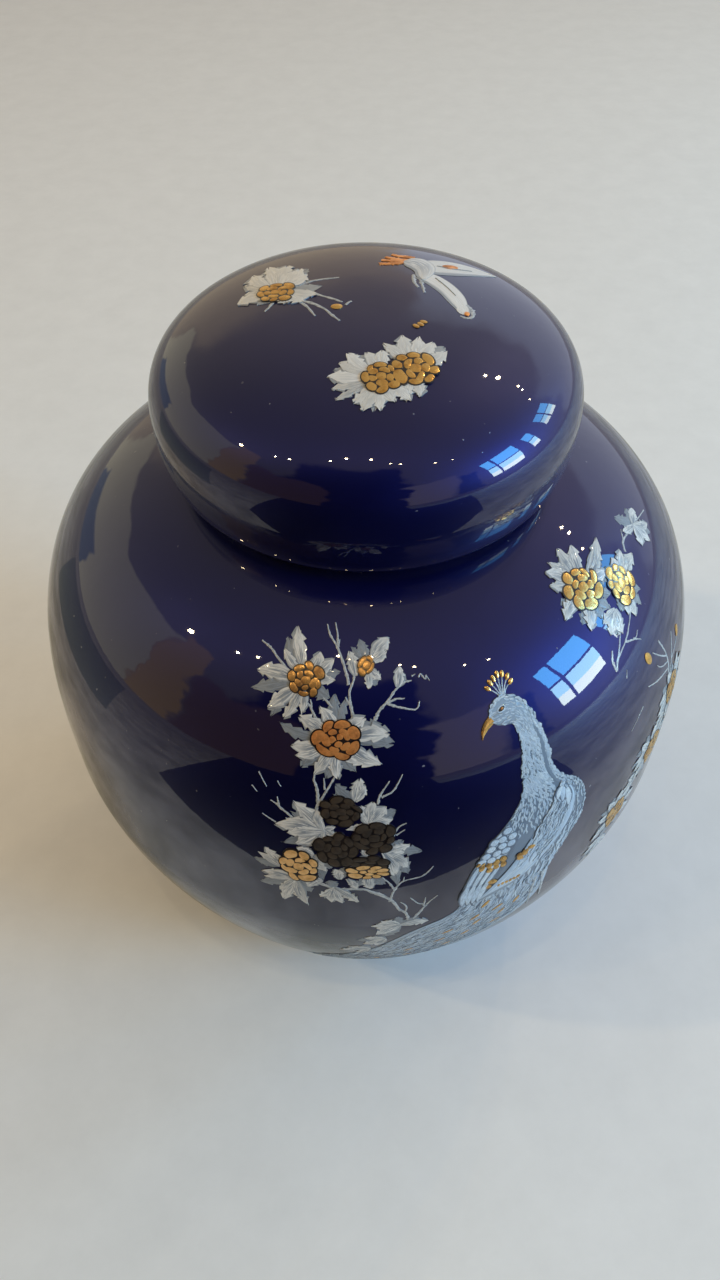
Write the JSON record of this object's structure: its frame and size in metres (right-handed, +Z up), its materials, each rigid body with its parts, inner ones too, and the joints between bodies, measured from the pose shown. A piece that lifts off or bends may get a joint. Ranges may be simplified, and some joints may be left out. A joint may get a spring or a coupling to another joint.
{
  "type": "ginger jar",
  "caption": "Lidded ginger jar: a wide-shouldered ovoid body on a low foot ring, with a domed cap lid over its short neck.",
  "frame": {"origin": "centre of the foot ring's standing face, on the jar's turning axis", "axes": "+Z up along the turning axis; the decorated front faces -Y"},
  "size_m": [0.14, 0.14, 0.1699],
  "materials": {
    "body_glaze": "glossy cobalt-blue glaze with white enamel and gilded decoration; pale glaze inside; unglazed foot ring",
    "lid_glaze": "glossy cobalt-blue glaze with white enamel and gilded decoration; pale glaze inside; unglazed rim"
  },
  "bodies": {
    "jar": {"jar_body": "body_glaze"},
    "lid": {"lid": "lid_glaze"}
  },
  "joints": [
    {"name": "lid_lift", "type": "slide", "parent": "jar", "child": "lid", "axis": [0, 0, 1], "range_m": [0, 0.06]}
  ]
}
